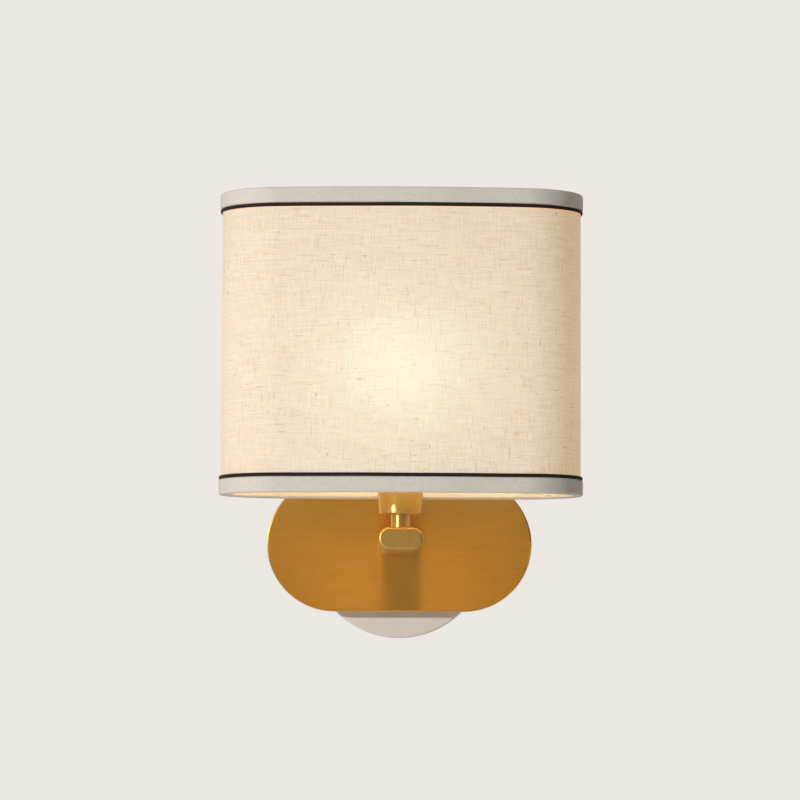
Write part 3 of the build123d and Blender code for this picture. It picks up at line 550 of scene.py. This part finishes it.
# Copper, dipped in tin: pale grey, smooth and a little soft.
tinned_copper = metal(
    "tinned_copper", "#C6C6C4", "#AFAFAC", roughness=0.3, size_mm=(2, 2, 2), depth_mm=0.01)
# Brass shell with a rolled thread, nickel plated: warm silver with faint rings, drawn 0.8 mm apart to show.
nickel_plate = metal(
    "nickel_plated_cap", "#CFCCC6", "#B9B5AC", roughness=0.2, size_mm=(6, 6, 0.8), depth_mm=0.006)


# ---- materials: paint, plastic, ceramic, film and glass ----
def moulded(name, colour, deep, roughness, size_mm, depth_mm, values=()):
    """A moulded, painted, glazed or drawn surface: a plain colour with slight clouding and a fine relief."""
    material, tree, shader = new_finish(name)
    place = add(tree, "TexCoord")["Object"]
    fine = grain(tree, place, (size_mm,) * 3, 3)
    cloud = grain(tree, place, (size_mm * 12,) * 3, 2, 5.5)
    rough = [fine, 0.25, 0.75, roughness * 0.85, roughness * 1.15]
    give(tree, shader, {
        **dict(values), "Base Color": stained(tree, linear(colour), linear(deep), cloud, 0.35, 0.7),
        "Roughness": add(tree, "MapRange", rough, **EASED)[0],
        "Normal": add(tree, "Bump", {"Height": fine, "Distance": depth_mm * MM, "Strength": 0.4})[0]})
    return material


# Steel, powder coated and baked: warm white, half matt, with the coat's slight orange peel.
white_powder = moulded(
    "white_powder_coat", "#E4E0DA", "#E0DBD4", roughness=0.42, size_mm=1.1, depth_mm=0.03,
    values={"IOR": 1.5})
# Steel wire, dipped in white epoxy: smooth, with a soft gloss.
white_wire = moulded("white_coated_wire", "#E8E4DC", "#DAD4C9", roughness=0.35, size_mm=1.5, depth_mm=0.02)
# Nylon, injection moulded: milky white with a fine spark-eroded face.
white_nylon = moulded("white_nylon", "#E4E2DA", "#D8D5CB", roughness=0.45, size_mm=0.8, depth_mm=0.01)
# Urea resin, press moulded: off-white, half gloss.
lamp_resin = moulded("lampholder_resin", "#E6E2D8", "#DBD6CA", roughness=0.38, size_mm=1.2, depth_mm=0.012)
# Steatite, pressed and fired without a glaze: chalky and matt.
steatite = moulded("steatite", "#E9E5DB", "#DDD7C9", roughness=0.7, size_mm=0.5, depth_mm=0.015)
# Silicone rubber, extruded over the wires: full colours with a soft gloss.
brown_sleeve, blue_sleeve, green_sleeve = (
    moulded(f"{colour}_silicone_sleeve", code, deep, roughness=0.4, size_mm=0.9, depth_mm=0.01)
    for colour, code, deep in (
        ("brown", "#5A3620", "#472817"), ("blue", "#2A5C98", "#204A7E"), ("green", "#5C8A32", "#4A7226")))
# Styrene film behind the linen, hazy enough to spread the bulb's light. Its warm cream is partly painted: the
# yellow stands in for the bulb's warm light falling on it.
film = moulded("shade_film", "#E0CFA6", "#DAC598", roughness=0.5, size_mm=2.5, depth_mm=0.01)
# Black glass, pressed: near black with a sharp gloss.
cap_glass = moulded(
    "black_cap_glass", "#0E0F12", "#17181B", roughness=0.12, size_mm=1.0, depth_mm=0.005,
    values={"IOR": 1.52})
# Lead glass, drawn: clear, seen only by its highlights.
stem_glass = moulded(
    "clear_stem_glass", "#E8EEEE", "#DDE6E6", roughness=0.06, size_mm=2.0, depth_mm=0.004,
    values={"IOR": 1.52, "Transmission Weight": 0.9})
# Phosphor in silicone, coated on the filaments and lit: an even yellow glow.
filament_coat = moulded(
    "filament_coating", "#F2C65A", "#E6B443", roughness=0.6, size_mm=0.5, depth_mm=0.01,
    values={"Emission Color": linear("#FFC060"), "Emission Strength": 4.0})


# ---- material: the bulb ----
BULB_STRENGTH = 27.0
BULB_NECK = 6 * MM  # height of the glass that the cap leaves dim
BULB_DIM = 0.25  # share of the light there


def opal_bulb():
    """Opal glass, blown, with the lit filaments behind it: an even warm white, dimmer at the neck."""
    material, tree, shader = new_finish("opal_bulb_glass")
    place = add(tree, "TexCoord")["Object"]
    height = add(tree, "SeparateXYZ", [place])["Z"]
    lit = [height, float(bulb_low.z) + BULB_NECK, float(LAMP[2]), BULB_DIM, 1.0]
    lit = add(tree, "MapRange", lit, **EASED)[0]
    haze = grain(tree, place, (9, 9, 9), 2)
    colour = stained(tree, linear("#FFECD0"), linear("#FFF2DE"), haze, 0.3, 0.7, 0.2)
    give(tree, shader, {
        "Base Color": linear("#F7F0E2"), "Roughness": 0.25, "Emission Strength": BULB_STRENGTH,
        "Emission Color": add(tree, "VectorMath", {0: colour, "Scale": lit}, operation="SCALE")[0]})
    return material


opal = opal_bulb()
linen_cloth = slubbed_linen()
tape_cloth = cotton_tape()
cord_cloth = twisted_cord()

# ---- which piece has which finish ----
FINISHES = {
    brushed_brass: ["backplate"],
    satin_brass: ["arm_tube", "arm_front_cap", "arm_rear_block"],
    turned_brass: ["socket_cup"],
    polished_brass: ["neck_sleeve"],
    contact_brass: ["centre_contact", "screw_shell", "core_pins", "threaded_nipple", "nipple_nut"],
    zinc_plate: ["mounting_bracket", "grub_screws", "arm_screws", "arm_washers", "terminal_screws",
                 "block_screw", "earth_screw", "earth_washer"],
    tinned_copper: ["earth_lug", "bulb_contact"],
    nickel_plate: ["bulb_cap"],
    white_powder: ["wall_disc"],
    white_wire: ["bottom_ring", "top_ring", "fitter_arms", "fitter_ring"],
    white_nylon: ["wire_bush", "terminal_block"],
    lamp_resin: ["holder_cap", "holder_body", "ring_nut"],
    steatite: ["holder_core"],
    brown_sleeve: ["live_lead"],
    blue_sleeve: ["neutral_lead"],
    green_sleeve: ["earth_lead"],
    film: ["shade_liner"],
    cap_glass: ["bulb_insulator"],
    stem_glass: ["bulb_stem"],
    filament_coat: ["bulb_filaments"],
    opal: ["bulb_glass"],
}
for finish, names in FINISHES.items():
    for name in names:
        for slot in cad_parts[name].material_slots:
            slot.material = finish


# ---- put the cloth pieces in place ----
linen = build_linen()
bands = [build_band("lower_tape", RIM_LOW, True, True), build_band("upper_tape", RIM_HIGH, False, False)]
cords = [build_cord("lower_cord", RIM_LOW, True), build_cord("upper_cord", RIM_HIGH, False)]
for piece, node, finish, slot in (
    (linen, "shade_linen", linen_cloth, "linen"),
    (bands[0], "bottom_band", tape_cloth, "white_tape"),
    (bands[1], "top_band", tape_cloth, "white_tape"),
    (cords[0], "bottom_piping", cord_cloth, "black_cord"),
    (cords[1], "top_piping", cord_cloth, "black_cord"),
):
    piece.data.materials.append(finish)
    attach(piece, "shade")
    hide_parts(node)


# ---- floor ----
FLOOR_Z = -1.25
FLOOR_RADIUS = 14
FLOOR_SIDES = 96
ring = np.linspace(0, 2 * math.pi, FLOOR_SIDES, endpoint=False)
floor_points = FLOOR_RADIUS * np.stack([np.cos(ring), np.sin(ring), np.zeros(FLOOR_SIDES)], -1)
floor_points += [0, 0, FLOOR_Z]
floor_mesh = bpy.data.meshes.new("floor")
floor_mesh.from_pydata(floor_points.tolist(), [], [list(range(FLOOR_SIDES))])
floor = bpy.data.objects.new("floor", floor_mesh)
bpy.context.scene.collection.objects.link(floor)
# Smooth pale vinyl, laid flat: matt and nearly white, without a pattern.
pale_floor = moulded("pale_floor", "#E9E7E4", "#E8E6E3", roughness=0.8, size_mm=60, depth_mm=0.01)
floor.data.materials.append(pale_floor)

# ---- world: dim before the object, where the brass mirrors it, pale behind it and duller at the sides ----
ROOM_DIM = 0.035
ROOM_PALE = 0.84
ROOM_SIDES = 0.5
ROOM_OVERHEAD = 0.56
world = bpy.data.worlds.new("studio")
bpy.context.scene.world = world
world.use_nodes = True
air = world.node_tree
way = add(air, "SeparateXYZ", [add(air, "TexCoord")["Generated"]])
behind = [way["Y"], -0.35, 0.9, ROOM_DIM, ROOM_PALE]
behind = add(air, "MapRange", behind, **EASED)[0]
aside = [add(air, "Math", [way["X"]], operation="ABSOLUTE")[0], 0.15, 0.9, 1.0, ROOM_SIDES]
aside = add(air, "MapRange", aside, **EASED)[0]
level = add(air, "Math", [behind, aside], operation="MULTIPLY")[0]
overhead = add(air, "MapRange", [way["Z"], 0.45, 0.9, 0, 1], **EASED)[0]
level = add(air, "Mix", {0: overhead, 2: level, 3: ROOM_OVERHEAD})[0]
give(air, air.nodes["Background"], {"Color": linear("#FFFAF4"), "Strength": level})

# ---- key light: small and square, from the left, a little over the shade ----
KEY_SIZE = 0.18
KEY_WATTS = 82
KEY_AWAY = 3.7
KEY_WAY = Vector((-0.825, -1.0, 0.19)).normalized()
TARGET = Vector((0, AXIS.y, 0.1))
key_data = bpy.data.lights.new("key", "AREA")
key_data.shape = "SQUARE"
key_data.size = KEY_SIZE
key_data.energy = KEY_WATTS
key_data.color = linear("#FFFDFB")[:3]
key = bpy.data.objects.new("key", key_data)
bpy.context.scene.collection.objects.link(key)
key.location = TARGET + KEY_WAY * KEY_AWAY
key.rotation_euler = KEY_WAY.to_track_quat("Z", "Y").to_euler()

# ---- camera, fitted to the shade's rims, the plate and the disc ----
IMAGE = 800  # pixels
FOCAL_PX = 3819.7
CAMERA_AT = Vector((-0.0266, -2.766, -0.1043))
YAW, PITCH, ROLL = (math.radians(angle) for angle in (0.558, 4.339, 0.218))
forward = Vector((math.sin(YAW) * math.cos(PITCH), math.cos(YAW) * math.cos(PITCH), math.sin(PITCH)))
right = Vector((math.cos(YAW), -math.sin(YAW), 0))
up = right.cross(forward)
right, up = math.cos(ROLL) * right + math.sin(ROLL) * up, math.cos(ROLL) * up - math.sin(ROLL) * right
lens = bpy.data.cameras.new("camera")
lens.sensor_width = 36
lens.lens = FOCAL_PX / IMAGE * lens.sensor_width
lens.clip_end = 60
camera = bpy.data.objects.new("camera", lens)
bpy.context.scene.collection.objects.link(camera)
turned = Matrix((right, up, -forward)).transposed().to_4x4()
camera.matrix_world = Matrix.Translation(CAMERA_AT) @ turned
bpy.context.scene.camera = camera
bpy.context.scene.view_settings.view_transform = "Standard"

bpy.context.view_layer.update()
